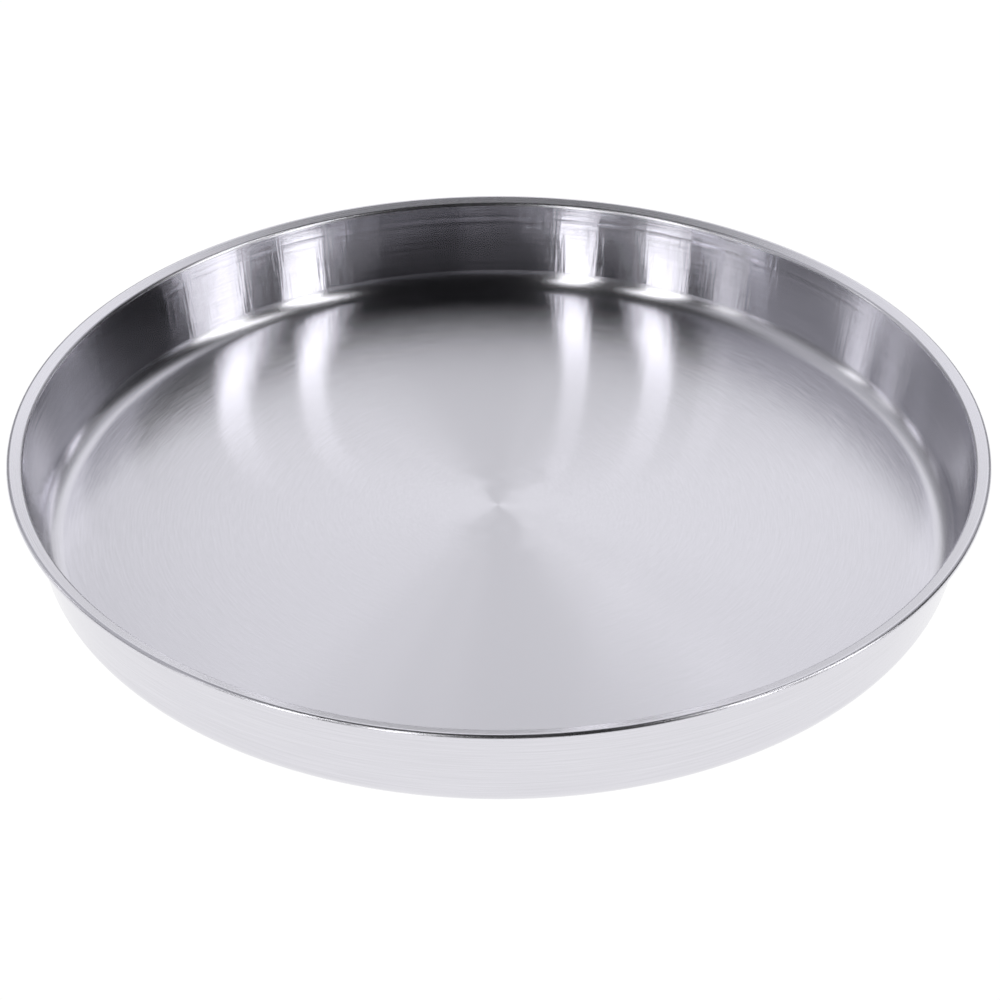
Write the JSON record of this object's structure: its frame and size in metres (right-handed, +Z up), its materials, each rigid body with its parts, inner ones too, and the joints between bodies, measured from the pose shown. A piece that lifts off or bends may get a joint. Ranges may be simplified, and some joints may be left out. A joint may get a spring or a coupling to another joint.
{
  "type": "round baking pan",
  "caption": "Shallow round metal baking pan with a flat floor, a slightly flared wall and a narrow lip with a curled edge, for baking cakes, flatbread or pizza.",
  "frame": {"origin": "centre of the flat underside", "axes": "+Z up along the pan's axis, out of its open top; -Y towards the viewer"},
  "size_m": [0.32, 0.32, 0.034],
  "materials": {
    "pan": "bright polished wall and lip, satin floor"
  },
  "bodies": {
    "root": {"pan": "pan"}
  },
  "joints": []
}
